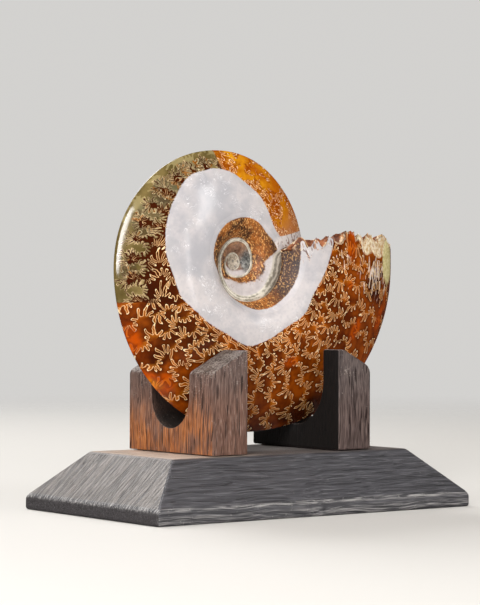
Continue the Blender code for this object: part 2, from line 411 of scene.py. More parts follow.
rings, ring_points, ring_along, ring_depth = break_rings(ids, points)
points = np.concatenate([points, ring_points])
break_faces = quads(rings.T)
print("faces on the break:", len(break_faces))

# %% [markdown]
# The very middle of the coil is too small to have a spiral of its own here, so each flank is closed by a fan
# of triangles round one point.

# %% The eye of the coil
EYE_DEPTH = 0.0011  # of its middle, from the shell's plane of symmetry
eyes = []
for side in (0, 1):
    loop = np.concatenate([ids[side, : STEPS + 1, 0], ids[side, 0, INNER_ROWS - 1 : 0 : -1]])
    middle = len(points)
    eye = (COIL_X + INNER_SHIFT[0][1] / 1000, (2 * side - 1) * EYE_DEPTH, COIL_Z + INNER_SHIFT[0][2] / 1000)
    points = np.vstack([points, eye])
    fan = np.stack([np.full_like(loop, middle), loop, np.roll(loop, -1), np.roll(loop, -1)], axis=-1)
    eyes.append(fan[:, [0, 2, 1, 1]] if side else fan)
print("faces at the two eyes:", sum(map(len, eyes)))

# %% [markdown]
# ## Marks that follow the coil
#
# The colours of the stone follow the shell: a milky band round the inside of the last whorl, a brown ring
# down into the middle, olive and amber parts towards the rim. For each, a number is kept at every corner of
# the mesh: the distance in millimetres inside that region's edge. The material turns the distance into a
# mask and frays it. Painting the masks as an image would be simpler, but an image has a fixed sharpness and
# its seam shows.

# %% Region edges, as a few points of (angle, share)
WHITE_OUTER = (
    (17, 1.2), (22, 1.05), (26, 0.72), (31, 0.47), (36, 0.425), (53, 0.423), (66, 0.50), (77, 0.575),
    (84, 0.607), (91, 0.661), (96, 0.717), (102, 0.760), (108, 0.792), (118, 0.80), (131, 0.796),
    (138, 0.761), (152, 0.701), (167, 0.638), (175, 0.607), (188, 0.539), (203, 0.494), (214, 0.424),
    (229, 0.370), (245, 0.331), (264, 0.345), (281, 0.294), (301, 0.232), (321, 0.223), (341, 0.201),
    (358, 0.248), (377, 0.330),
)
WHITE_INNER = (
    (20, 0.33), (32, 0.295), (49, 0.243), (70, 0.243), (93, 0.231), (119, 0.209), (140, 0.190),
    (159, 0.159), (174, 0.137), (194, 0.058), (234, 0.004), (260, 0.021), (278, 0.058), (295, 0.064),
    (317, 0.062), (340, 0.067), (365, 0.075), (377, 0.08),
)
LILAC_EDGE = (
    (34, 0.9), (26, 0.42), (20, 0.34), (8, 0.16), (-5, 0.12), (-22, 0.11), (-40, 0.11), (-90, 0.09),
    (-118, 0.10), (-138, 0.17), (-158, 0.34), (-200, 0.5), (-335, 0.6), (-365, 0.45), (-388, 0.2),
    (-412, 0.05), (-470, 0.03), (-505, 0.12), (-532, 0.4), (-600, 0.5), (-660, 0.4), (-690, 0.0),
    (-720, -0.1), (-800, -0.2),
)
GLOWS = (  # angle, share, and the reach in each
    (211, 0.97, 8, 0.11), (233, 0.93, 6, 0.09), (228, 1.0, 6, 0.05), (249, 0.975, 8, 0.05),
    (334, 0.675, 7, 0.05), (296, 0.494, 5, 0.05), (369, 0.478, 9, 0.055), (343, 0.895, 5, 0.05),
    (350, 0.476, 3, 0.03),
)
SHADES = (
    (208, 0.68, 18, 0.18), (234, 0.50, 16, 0.14), (262, 0.98, 16, 0.08), (352, 0.72, 6, 0.10),
    (298, 0.90, 14, 0.09), (223, 0.88, 4, 0.09), (243, 0.89, 5, 0.07),
)
TUFTS = (
    (142, 0.85, 8, 0.10), (161, 0.85, 8, 0.09), (184, 0.90, 5, 0.06), (126, 0.87, 6, 0.08),
    (115, 0.87, 6, 0.06), (151, 0.80, 6, 0.05),
)
print("points that give the edges:", len(WHITE_OUTER) + len(WHITE_INNER) + len(LILAC_EDGE))

# %% [markdown]
# A mesh can keep numbers at the corners of its faces in named attributes of three numbers each. Fifteen
# numbers are needed here, so they go into five attributes, and the coil's own coordinates go into a UV map.

# %% Names of the numbers
SEPTA = 42  # chambers in one turn
OUTSIDE, JUST_OUTSIDE = -30, -8  # distances in mm that stand for anywhere else
OLIVE_START, OLIVE_FOOT = 105, 63.5  # angle and height in mm where the olive part begins
KEPT = {  # what the mesh keeps at every corner, three numbers under each name
    "zones": ("white", "olive", "amber"),  # mm inside each region
    "middle": ("ring", "lilac", "bead"),  # mm inside the ring and the pearly part, share across the bead
    "spots": ("glow", "patch", "crust"),  # soft amounts
    # slate_and_shade is slate-grey stone, partly painted shade on the right of the second turn
    "inner": ("slate_and_shade", "deep", "feather"),  # amount of slate, hundreds of degrees back along the coil, tufts
    "extra": ("spacing", "below", "broken"),  # mm between walls, mm below the break, 1 on the broken end
}
FIELDS = [field for fields in KEPT.values() for field in fields]
print("numbers to keep:", len(FIELDS))


# %% Numbers kept on the flanks
def regions_at(angle, share):
    """Every field of KEPT, by name, at each point of the flank's grid."""
    rim = rim_radius(angle)
    span = 1000 * rim * (1 - UMBILICUS)  # millimetres for a whole share
    radius = 1000 * rim * (UMBILICUS + (1 - UMBILICUS) * share)
    last = smooth_step(angle, LAST_START - 3, LAST_START + 3)
    inner_edge = curve_through(WHITE_INNER, angle)
    white = np.minimum(curve_through(WHITE_OUTER, angle) - share, share - inner_edge) * span
    height = COIL_Z * 1000 + radius * np.sin(np.radians(angle))
    arc = 1000 * rim * np.radians(angle - OLIVE_START)
    olive = np.minimum(arc, height - OLIVE_FOOT)
    amber = np.minimum(-arc, (share - 0.47) * span * 0.9 + 4)
    lilac = np.where(angle < 34, (share - curve_through(LILAC_EDGE, angle)) * span, JUST_OUTSIDE)
    glow, shade, tuft = (
        sum(hill(angle, a, da) * hill(share, s, ds) for a, s, da, ds in spots)
        for spots in (GLOWS, SHADES, TUFTS)
    )
    return {
        "white": white * last + (1 - last) * JUST_OUTSIDE,
        "olive": np.where((angle > 60) & (angle < 260), olive, OUTSIDE),
        "amber": np.where((angle > 19) & (angle < 150), amber, OUTSIDE),
        "ring": np.where(angle > LAST_START, (inner_edge - share) * span, -JUST_OUTSIDE),
        "lilac": np.where((angle > LAST_START) & (share > 0.45), JUST_OUTSIDE, lilac),
        "bead": across_bead(angle, share) * smooth_step(LAST_START - angle, -2, 10),
        "glow": glow - shade,
        "patch": hill(angle, 361.5, 7) * hill(share, 0.905, 0.075),
        "crust": hill(angle, 367, 8) * hill(share, 0.79, 0.14)
        + 0.6 * hill(angle, 367, 5) * hill(share, 0.62, 0.05),
        "slate_and_shade": hill(angle, -352, 52) * hill(share, 0.17, 0.23),
        "deep": -angle / 100,
        "feather": hill(angle, 357, 8) * hill(share, 0.74, 0.15)
        + 0.8 * hill(angle, 363, 6) * hill(share, 0.37, 0.07)
        + tuft,
        "spacing": 2 * math.pi * radius / SEPTA,
        "below": np.where(angle > 300, 1000 * np.linalg.norm(front[-1] - front, axis=-1), 40),
        "broken": np.zeros_like(radius),
    }


regions = regions_at(turned, np.broadcast_to(share, turned.shape))
radius_mm = 1000 * rim_radius(turned) * (UMBILICUS + (1 - UMBILICUS) * share)
on_flank = [regions[field] for field in FIELDS] + [turned * SEPTA / 360, radius_mm]
on_flank = np.stack(on_flank, axis=-1).reshape(turned.size, -1)
print("numbers kept at each of", turned.size, "grid points:", on_flank.shape[1])


# %% [markdown]
# The broken end belongs to none of the regions, so it gets numbers of its own. Then all the parts are put in
# one list, faces are cut into triangles, and the corners that fell together are dropped.

# %% Numbers kept on the broken end
def broken_end():
    """The same numbers on the broken end: outside every region, with the ways in and along as its coil."""
    inwards = np.broadcast_to(ring_depth[None], rings.T.shape).ravel()
    along = np.broadcast_to(ring_along[:, None], rings.T.shape).ravel()
    data = np.zeros((rings.size, len(FIELDS) + 2))
    values = {
        "white": OUTSIDE, "olive": OUTSIDE, "amber": OUTSIDE, "ring": OUTSIDE,
        "spacing": 6.0, "below": inwards * 25, "broken": 1.0,
    }
    for field, value in values.items():
        data[:, FIELDS.index(field)] = value
    data[:, -2:] = np.stack([inwards * 3, along * 90], axis=-1)
    return data


print("points on the break:", len(broken_end()))


# %% Join the parts
def join_shell():
    """Joins flanks, break and eyes, drops points that no face uses and corners that fell together."""
    eye_faces = np.concatenate(eyes)
    number = np.arange(rings.size).reshape(rings.T.shape)
    at_eye = np.broadcast_to(on_flank[corner_no[0, 0]], (*eye_faces.shape, on_flank.shape[1])).copy()
    at_eye[..., -2:] = 0
    faces = halves(np.concatenate(flank_faces + [break_faces, eye_faces]))
    at_corners = on_flank[np.concatenate(flank_corners)], broken_end()[quads(number)], at_eye
    data = halves(np.concatenate(at_corners))
    solid = has_area(faces)
    used, compact = np.unique(faces[solid], return_inverse=True)
    return points[used], compact.reshape(-1, 3), data[solid].reshape(-1, data.shape[-1])


shell_vertices, shell_triangles, corner_data = join_shell()
print(f"shell: {len(shell_vertices)} points, {len(shell_triangles)} triangles")


# %% [markdown]
# Arrays go into a Blender mesh in one step each with foreach_set. Adding the faces one by one in a loop would
# give the same mesh, only slowly.

# %% The shell as a Blender object
def mesh_from(name, vertices, triangles):
    """A mesh object at the origin from arrays of points and of triangles."""
    mesh = bpy.data.meshes.new(name)
    mesh.vertices.add(len(vertices))
    mesh.vertices.foreach_set("co", vertices.astype(np.float32).ravel())
    mesh.loops.add(triangles.size)
    mesh.loops.foreach_set("vertex_index", triangles.astype(np.int32).ravel())
    mesh.polygons.add(len(triangles))
    mesh.polygons.foreach_set("loop_start", np.arange(0, triangles.size, 3, dtype=np.int32))
    mesh.update(calc_edges=True)
    mesh.shade_smooth()
    thing = bpy.data.objects.new(name, mesh)
    bpy.context.scene.collection.objects.link(thing)
    return thing


def corner_vector(mesh, name, values):
    """Keeps three numbers at every corner of the mesh, under a name that a material can read."""
    layer = mesh.attributes.new(name, "FLOAT_VECTOR", "CORNER")
    layer.data.foreach_set("vector", values.astype(np.float32).ravel())


ammonite = mesh_from("ammonite_shell", shell_vertices, shell_triangles)
for name, fields in KEPT.items():
    corner_vector(ammonite.data, name, corner_data[:, [FIELDS.index(field) for field in fields]])
coil_map = ammonite.data.uv_layers.new(name="coil")
coil_map.uv.foreach_set("vector", corner_data[:, -2:].astype(np.float32).ravel())
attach(ammonite, "root")
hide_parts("ammonite")
print("kept at the corners:", ", ".join(KEPT))


# %% [markdown]
# ## Writing materials as sums
#
# The frills are a formula, and a formula drawn as loose Math nodes is hard to read. A Wire is one number on
# its way through the nodes: adding, multiplying or comparing Wires adds the Math nodes. The result is an
# ordinary node tree, which could also be laid out by hand.

# %% Wires
class Wire:
    """One number in a node tree. Arithmetic on it adds Math nodes, and a comparison gives 1 or 0."""

    def __init__(self, socket):
        self.socket, self.tree = socket, socket.id_data

    __add__ = __radd__ = lambda self, other: maths("ADD", self, other)
    __mul__ = __rmul__ = lambda self, other: maths("MULTIPLY", self, other)
    __sub__ = lambda self, other: maths("SUBTRACT", self, other)
    __rsub__ = lambda self, other: maths("SUBTRACT", other, self)
    __truediv__ = lambda self, other: maths("DIVIDE", self, other)
    __gt__ = lambda self, other: maths("GREATER_THAN", self, other)
    __lt__ = lambda self, other: maths("LESS_THAN", self, other)
    __neg__ = lambda self: maths("SUBTRACT", 0.0, self)
    __abs__ = lambda self: maths("ABSOLUTE", self)


def tree_of(*values):
    """The node tree of the first Wire or socket among the values."""
    found = next(value for value in values if isinstance(value, (Wire, bpy.types.NodeSocket)))
    return found.tree if isinstance(found, Wire) else found.id_data


def feed(slot, value):
    """Connects a Wire or a socket to an input, or sets the input to a plain value."""
    if isinstance(value, Wire):
        value = value.socket
    if isinstance(value, bpy.types.NodeSocket):
        slot.id_data.links.new(value, slot)
    else:
        slot.default_value = value


def add_node(kind, *values):
    """A node in the values' own tree, with its first inputs fed by them in order."""
    node = tree_of(*values).nodes.new("ShaderNode" + kind)
    for slot, value in zip(node.inputs, values):
        feed(slot, value)
    return node


print("a Wire can be added, subtracted, multiplied, divided and compared")

# %% [markdown]
# Most of a material is the same few steps again and again: take a place, get noise there, turn it into a
# mask with soft edges, and use the mask to lay one colour over another. Each step has a helper named in
# plain words. Colours are written as the eye sees them, from 0 to 255, because that is how a colour card
# gives them.

# %% Numbers, vectors and noise
NOISE_GAIN = 2.4  # brings a noise's usual swing to about 1 either way


def maths(operation, *values):
    node = add_node("Math", *values)
    node.operation = operation
    return Wire(node.outputs[0])


def ramp(value, low, high, start=0.0, end=1.0):
    """An S-shaped ramp from start to end as the value goes from low to high."""
    node = add_node("MapRange", value, low, high, start, end)
    node.interpolation_type = "SMOOTHSTEP"
    return Wire(node.outputs[0])


def chosen(gate, yes, no):
    """Yes where the gate is 1, and no where it is 0."""
    return no + (yes - no) * gate


def parts_of(vector):
    """The three numbers of a vector."""
    return [Wire(output) for output in add_node("SeparateXYZ", vector).outputs]


def vector_of(x, y, z=0.0):
    return add_node("CombineXYZ", x, y, z).outputs[0]


def noise(place, scale, detail=2.0, roughness=0.5, distortion=0.0):
    """Three unrelated noises from one node, each running from about -1 to 1 with a mean of 0."""
    node = add_node("TexNoise", place)
    values = {"Scale": scale, "Detail": detail, "Roughness": roughness, "Distortion": distortion}
    for name, value in values.items():
        node.inputs[name].default_value = value
    return [NOISE_GAIN * (value - 0.5) for value in parts_of(node.outputs["Color"])]


def chance(number):
    """A random value from 0 to 1, always the same one for the same number."""
    node = number.tree.nodes.new("ShaderNodeTexWhiteNoise")
    node.noise_dimensions = "1D"
    feed(node.inputs["W"], number)
    return Wire(node.outputs["Value"])


print("noise is made", NOISE_GAIN, "times as strong")


# %% Colours
def linear(red, green, blue):
    """A colour given as the eye sees it, 0 to 255, turned to linear light, with 1 for solid."""
    shares = [channel / 255 for channel in (red, green, blue)]
    return (*(s / 12.92 if s <= 0.04045 else ((s + 0.055) / 1.055) ** 2.4 for s in shares), 1.0)


def blend(amount, first, second):
    """Lays the second colour over the first, from none of it at 0 to all of it at 1."""
    node = tree_of(amount, first, second).nodes.new("ShaderNodeMix")
    node.data_type = "RGBA"
    node.clamp_factor = True
    feed(node.inputs[0], amount)
    for slot, colour in zip((node.inputs[6], node.inputs[7]), (first, second)):
        feed(slot, linear(*colour) if isinstance(colour, tuple) else colour)
    return node.outputs[2]


def shades(value, low, high, dark, pale):
    """A colour that goes from dark to pale as the value goes from low to high."""
    return blend(ramp(value, low, high), dark, pale)


print("middle grey in linear light:", round(linear(128, 128, 128)[0], 3))


# %% Groups and materials
def new_group(name, inputs, outputs):
    """An empty node group. An input without a default is a vector, and every other socket is a number.

    Returns the tree, what is given to the group by name, and the sockets of what it makes."""
    tree = bpy.data.node_groups.new(name, "ShaderNodeTree")
    for title, value in inputs.items():
        kind = "NodeSocketVector" if value is None else "NodeSocketFloat"
        socket = tree.interface.new_socket(title, in_out="INPUT", socket_type=kind)
        if value is not None:
            socket.default_value = value
    for title in outputs:
        tree.interface.new_socket(title, in_out="OUTPUT", socket_type="NodeSocketFloat")
    entry = tree.nodes.new("NodeGroupInput").outputs
    given = {title: entry[title] if value is None else Wire(entry[title]) for title, value in inputs.items()}
    return tree, given, tree.nodes.new("NodeGroupOutput").inputs


def place_group(group, **values):
    """Puts a group where its values are, with its inputs set by name, and returns what it makes."""
    node = tree_of(*values.values()).nodes.new("ShaderNodeGroup")
    node.node_tree = group
    for name, value in values.items():
        feed(node.inputs[name], value)
    return {output.name: Wire(output) for output in node.outputs}


def new_material(name):
    """A material with its tree and its surface shader."""
    material = bpy.data.materials.new(name)
    material.use_nodes = True
    return material, material.node_tree, material.node_tree.nodes["Principled BSDF"]


def add_bump(surface, height, strength, distance):
    bump = surface.id_data.nodes.new("ShaderNodeBump")
    bump.inputs["Strength"].default_value = strength
    bump.inputs["Distance"].default_value = distance
    feed(bump.inputs["Height"], height)
    feed(surface.inputs["Normal"], bump.outputs[0])


def millimetres(tree, rotation=(0, 0, 0)):
    """Object coordinates in millimetres, turned by a Mapping node so that a grain can run any way."""
    mapping = add_node("Mapping", tree.nodes.new("ShaderNodeTexCoord").outputs["Object"])
    mapping.inputs["Rotation"].default_value = rotation
    mapping.inputs["Scale"].default_value = (1000, 1000, 1000)
    return mapping.outputs[0]


print("node groups before the first material:", len(bpy.data.node_groups))


# %% [markdown]
# ## The frills
#
# A chamber wall meets the shell in one unbroken line, which swings out into rounded lobes, and each lobe
# carries fingers. The formula does the same with round arcs: the distance to an arc, and the length along
# it, are exact, so the fingers stand square to the lobe all the way round it, and the line keeps one width.
# Adding sine waves to a straight line is simpler, but it smears the line where the lobes are steep.

# %% Two kinds of fold
def nearest(value, step):
    """How far a number is from the nearest multiple of the step, and which multiple that is."""
    number = maths("ROUND", value * (1 / step))
    return value - number * step, number


def lobe_fold(along, off, half, rise):
    """Bends a line into arcs about centres that alternate above and below it, and measures from the arcs.

    The centres are one half apart along the line and one rise above or below it. Neighbouring arcs touch
    where the line joining their centres crosses, so that line divides the space between them. A rise below 0
    gives gentle waves, and one above 0 gives necked lobes. Returns the length along the arcs, the distance
    from them, 1 or -1 for above or below, the place on the arc (-1 to 1), and how far rays have spread."""
    radius = math.hypot(half / 2, rise)
    sweep = math.pi / 2 + math.atan2(2 * rise, half)
    over, over_no = nearest(along, 2 * half)
    under, under_no = nearest(along - half, 2 * half)
    gate = off > rise - abs(over) * (2 * rise / half)
    way = gate * 2.0 - 1.0
    x = chosen(gate, over, under)
    y = off * way - rise
    number = chosen(gate, over_no * 2.0, under_no * 2.0 + 1.0)
    turn = maths("ARCTAN2", x, y)
    ring = maths("SQRT", x * x + y * y)
    length = number * (2 * radius * sweep) + turn * radius
    return length, (ring - radius) * way, way, turn * (1 / sweep), maths("MAXIMUM", ring * (1 / radius), 1.0)


def finger_fold(along, off, spread, width, reach, seed):
    """Bends a line into straight fingers with round ends, of uneven length, and measures from it.

    Fingers keep their width where the rays they stand on spread apart, so the gaps between them open like
    those of a hand. Returns the distance, and how far the place lies beyond the straight part of its finger,
    from 0 to 1."""
    over, over_no = nearest(along, 2 * width)
    under, under_no = nearest(along - width, 2 * width)
    gate = off > 0.0
    x = chosen(gate, over, under) * spread
    straight = reach * (chance(chosen(gate, over_no * 2.0, under_no * 2.0 + 1.0) + seed) * 1.3 + 0.35)
    y = maths("MAXIMUM", abs(off) - straight, 0.0)
    round_end = maths("SQRT", x * x + y * y)
    return (round_end - width / 2) * (gate * 2.0 - 1.0), maths("MINIMUM", y * (2 / width), 1.0)


print("folds: lobes of round arcs, and straight fingers with round ends")


# %% One chamber wall
def build_wall(name, half, rise, width):
    """A wall of lobes with fingers of the given width. All its lengths are shares of the size of the fold.

    The fingers are longest at the crown of a lobe and on its outer side, and melt into the line where they
    get very short. Palm is the distance on the inner side of a lobe."""
    inputs = {"Along": 0.0, "Off": 0.0, "Seed": 0.0, "Reach": 0.1}
    tree, given, made = new_group(name, inputs, ("Off", "Palm", "Tip"))
    along, off, way, place, spread = lobe_fold(given["Along"], given["Off"], half, rise)
    crown = maths("COSINE", maths("MINIMUM", abs(place), 1.0) * (math.pi / 2))
    off = off - way * crown * 0.03
    outer = off * way > 0.0
    reach = given["Reach"] * (crown * 0.9 + 0.25) * (1.0 - way * 0.15) * (outer * 0.45 + 0.55)
    folded, tip = finger_fold(along, off, spread, width, reach, given["Seed"] * 17.3)
    keep = ramp(reach, 0.012, 0.04)
    off, tip = chosen(keep, folded, off), tip * keep * (outer * 0.75 + 0.25)
    for title, value in (("Off", off), ("Palm", -(off * way)), ("Tip", tip)):
        feed(made[title], value)
    return tree


tree_edge = build_wall("tree edge", half=0.50, rise=0.12, width=0.062)
chamber_wall = build_wall("one chamber wall", half=0.72, rise=-0.16, width=0.106)
print("nodes in one chamber wall:", len(chamber_wall.nodes))


# %% [markdown]
# Two walls are never far apart, so at each place both neighbours are measured and the nearer one is kept.
# Three noises bend the walls: a slow one, a quicker one, and a fine one that shakes the fingers, because
# real ones are never quite straight.

# %% The row of walls
SHIFT = 0.14  # how far a wall is moved along itself, so that neighbours don't line up


def build_frills(wall):
    """The nearer of two walls at each place. Line is the mask of the frill, Chamber counts the chambers, Side
    falls from 0.5 or -0.5 at the line to 0 away from it, and Palm is in millimetres."""
    inputs = {"Coil": None, "Place": None, "Spacing": 7.0, "Size": 5.2}
    inputs.update({"Width": 0.092, "Wander": 0.23, "Reach": 0.20})
    tree, given, made = new_group("chamber wall frills", inputs, ("Line", "Tip", "Chamber", "Side", "Palm"))
    slow, quick, shake = (noise(given["Place"], scale, 0.0) for scale in (0.13, 0.36, 0.95))
    wander, size = given["Wander"], given["Size"]
    s, radius, _ = parts_of(given["Coil"])
    steps = given["Spacing"] / size  # space between walls here, in sizes
    s = s + (slow[0] * wander + quick[0] * (wander * 0.45) + shake[0] * 0.035) / steps
    t = radius / size + slow[1] * wander + quick[1] * (wander * 0.45) + shake[1] * 0.05
    reach = given["Reach"] * maths("MAXIMUM", quick[2] * 1.1 + 0.95, 0.05)
    first = maths("FLOOR", s)
    found = []
    for step in (0.0, 1.0):
        number = first + step
        shift = maths("SINE", number * 12.9) * SHIFT
        net = place_group(wall, Along=t + shift, Off=(s - number) * steps, Seed=number, Reach=reach)
        found.append([net["Off"], net["Palm"], net["Tip"], number])
    gate = abs(found[1][0]) < abs(found[0][0])
    off, palm, tip, number = (chosen(gate, second, one) for one, second in zip(*found))
    ahead = off > 0.0
    room = given["Width"] * (tip * 0.5 + 0.95) - abs(off) * size
    feed(made["Line"], ramp(room, -0.06, 0.06))
    feed(made["Tip"], tip)
    feed(made["Chamber"], number + ahead)
    feed(made["Side"], (ahead - 0.5) * (1.0 - maths("MINIMUM", abs(off) * 6.0, 1.0)))
    feed(made["Palm"], palm * size)
    return tree


frills = build_frills(chamber_wall)
print("nodes in the frills:", len(frills.nodes))

# %% [markdown]
# ## Polished stone
#
# The stone is built up in layers, as it is in the fossil: clear red-brown calcite in the chambers, amber
# and olive calcite beyond it, frills on top, then the milky band, the turns of the middle and the broken
# end. Each cell lays one of them over the colour so far. One large image would be quicker, but it couldn't
# stop at the chamber walls as these colours do. The gloss is the shader's own.

# %% What the layers read
material, tree, surface = new_material("polished ammonite stone")
kept = []
for name in KEPT:
    attribute = tree.nodes.new("ShaderNodeAttribute")
    attribute.attribute_name = name
    kept.append(parts_of(attribute.outputs["Vector"]))
(white, olive, amber), (ring, lilac, bead), (glow, patch, crust), (slate_and_shade, deep, feather), extra = kept
spacing, below, broken = extra
mm = millimetres(tree)
x_mm, y_mm, z_mm = parts_of(mm)
coil = tree.nodes.new("ShaderNodeUVMap")
coil.uv_map = "coil"
s, radius, _ = parts_of(coil.outputs[0])
broad = noise(mm, 0.06)
middle = noise(mm, 0.22, 3.0)
fine = noise(mm, 1.1)
flecks = noise(mm, 1.9, 1.0, 0.5, 0.8)
folds = noise(vector_of(x_mm * 0.6 + z_mm * 0.15, y_mm * 0.6, z_mm * 0.26), 1.0, 2.0, 0.6, 0.8)
net = place_group(frills, Coil=coil.outputs[0], Place=mm, Spacing=spacing)
line, tip, side, palm = (net[name] for name in ("Line", "Tip", "Side", "Palm"))
tint = chance(net["Chamber"])
print("read from the mesh:", ", ".join(FIELDS))

# %% [markdown]
# ### Chamber filling
#
# Most chambers are filled with red-brown calcite. It is cloudy, each chamber has a tint of its own, and it
# goes to orange where it is clear to the bottom and to near black where it isn't.

# %% Red-brown stone
ORANGE, YELLOW, NEAR_BLACK = (182, 72, 0), (224, 134, 12), (54, 18, 4)
stone = shades(middle[0] + broad[0], -0.7, 0.8, (86, 31, 4), (160, 73, 10))
stone = blend(ramp(tint + middle[1] * 0.4, 0.5, 1.4), stone, (170, 84, 14))
stone = blend(ramp(glow + middle[2] * 0.18, 0.25, 0.85), stone, ORANGE)
stone = blend(ramp(glow + broad[1] * 0.3, 0.95, 1.5) * 0.8, stone, YELLOW)
stone = blend(ramp(glow + middle[2] * 0.25, -0.1, -0.8) * 0.85, stone, NEAR_BLACK)
print("nodes after the red-brown stone:", len(tree.nodes))

# %% [markdown]
# ### Amber part
#
# Beyond the white band, on the side of the mouth, the filling is clear yellow amber. Red-brown smudges with
# bright flecks lie in it, more of them close to the band, and it turns dull pink where the break begins.

# %% Amber with smudges
warm = ramp(amber + side * 2.5 + middle[0] * 3.0, -1.0, 1.0)
gold = shades(broad[1] + middle[1] * 0.9, -0.5, 0.6, (184, 96, 4), (226, 156, 24))
smudge = ramp(middle[0] * 1.2 + fine[0] * 0.3 + ramp(white, -7.5, -0.5, 0.05, 0.5), 0.0, 0.3)
smudged = shades(fine[2] + middle[1] * 0.3, 0.0, 0.5, (142, 58, 6), (212, 138, 50))
gold = blend(smudge * 0.85, gold, smudged)
gold = blend(ramp(deep, -0.46, -0.3) * 0.6, gold, (186, 120, 80))
stone = blend(warm, stone, gold)
print("nodes after the amber:", len(tree.nodes))

# %% [markdown]
# ### Olive part
#
# Opposite, the filling is clear olive, and brown trees grow into it from the band. Their edge is the same
# kind of lobed and fingered wall as a frill, laid round the coil at a larger size. Bright specks break up a
# thin pale outline. A few tufts of grey and rust-coloured frill float in the clear stone.

# %% Olive with trees
TREE = 7.0  # millimetres, the size of the brown trees
CLEAR_BELOW = 12.4  # millimetres by which the trees stand out from the band, low on the shell
MOSS, SHARD = ((84, 70, 34), (138, 118, 72)), (176, 160, 112)
TREE_BROWN, OUTLINE = (52, 18, 4), (220, 192, 146)
out = -white - ramp(z_mm, 60.0, 110.0, CLEAR_BELOW, 0.0) + middle[1] * 1.2 + broad[0] * 2.0 + fine[1] * 0.45
around = s * 6.5 + middle[2] * 1.6 + broad[1] * 3.0 + fine[0] * 0.5
branch = maths("MAXIMUM", middle[0] * 0.10 + 0.15, 0.04)
reach = place_group(tree_edge, Along=around / TREE, Off=out / -TREE, Reach=branch)["Off"] * -TREE
inside = ramp(olive + middle[0] * 0.8, -0.3, 0.3)
moss = shades(broad[2] + middle[0] * 0.7, -0.6, 0.7, *MOSS)
moss = blend(ramp(tint + middle[2] * 0.3, 0.75, 0.85) * 0.5, moss, SHARD)
stone = blend(inside * ramp(reach, -7.0, -0.8, 0.55, 0.92), stone, TREE_BROWN)
stone = blend(ramp(reach, -0.05, 0.05) * inside, stone, moss)
halo = ramp(abs(reach - 0.05), 0.06, 0.2, 1.0, 0.0) * inside
stone = blend(halo * ramp(fine[2] + middle[2] * 0.6, -0.5, 0.6, 0.05, 0.8), stone, OUTLINE)
print("nodes after the trees:", len(tree.nodes))

# %% Tufts in the olive part
TUFT_GREY, RUST = (88, 84, 62), ((90, 50, 18), (186, 108, 26))
tuft = ramp(feather + middle[2] * 0.2, 0.25, 0.45) * inside * ramp(reach, -0.5, 0.5)
stone = blend(tuft * ramp(middle[0], -0.5, 0.5, 0.3, 0.9), stone, TUFT_GREY)
in_palm = ramp(palm, 0.0, 0.2) * ramp(palm, 1.5, 0.6)
rust = shades(fine[1] + middle[2] * 0.5, -0.4, 0.5, *RUST)
stone = blend(tuft * in_palm * ramp(middle[1], -0.5, 0.2, 0.2, 0.95), stone, rust)
quiet = 1.0 - ramp(reach, -2.0, 0.0) * inside * (1.0 - tuft * 0.9)
print("nodes after the tufts:", len(tree.nodes))

# %% [markdown]
# ### Frills, lit and shaded
#
# A frill is the edge of a sheet that goes down into clear stone. Painted shade darkens the stone on the outer
# side of each lobe, and a painted orange glow lightens its inner side, to give the folds depth. The line
# itself is pale, brightest at the tips of its fingers. Near the break the sheets have been cut at a slant and
# show as cream plumes.

# %% Frills
FRILL, DULL_FRILL = ((244, 192, 132), (255, 232, 186)), ((160, 150, 112), (206, 190, 150))
# Painted shade on the outer side of each lobe.
shade = ramp(palm, -1.6, -0.1) * ramp(palm, -0.1, 0.05, 1.0, 0.0)
stone = blend(shade * 0.55 * quiet * (1.0 - warm * 0.9), stone, (66, 20, 2))
# Painted glow, orange, on the inner side of each lobe.
lit = ramp(palm, 1.2, 0.1) * ramp(palm, -0.05, 0.1)
stone = blend(lit * (middle[0] * 0.6 + 0.24) * quiet * (1.0 - inside) * (1.0 - warm), stone, (212, 124, 32))
frill = shades(tip + fine[1] * 0.4, 0.0, 1.0, *FRILL)
frill = blend(tuft, frill, shades(fine[2], -0.4, 0.4, *DULL_FRILL))
strength = (tip * 0.3 + 0.78 + fine[0] * 0.2 + middle[1] * 0.4) * quiet * ramp(glow, 0.35, 0.8, 1.0, 0.05)
strength = strength * (1.0 - warm * ramp(smudge, 0.8, 0.2))
stone = blend(line * strength, stone, frill)
print("nodes after the frills:", len(tree.nodes))

# %% Plumes near the break
strokes = noise(vector_of(radius * 1.1 + middle[1] * 0.8, s * 1.5 + middle[0] * 0.5), 1.0, 1.0)
plume = ramp(strokes[0] + feather * 0.5 - 0.45 + middle[1] * 0.3, -0.02, 0.14) * ramp(feather, 0.1, 0.35)
cream = shades(fine[0], -0.6, 0.6, (206, 170, 120), (244, 232, 226))
stone = blend(plume * (1.0 - inside) * 0.9, stone, cream)
print("nodes after the plumes:", len(tree.nodes))

# %% [markdown]
# ### Milky band
#
# Inside the last whorl the shell's own mother-of-pearl is left as a milky veil. It is cloudy, with small
# pale curls where frills show through. Where the last whorl leaves the seam the veil is torn and fibrous,
# and close to the break it comes off in gaps.

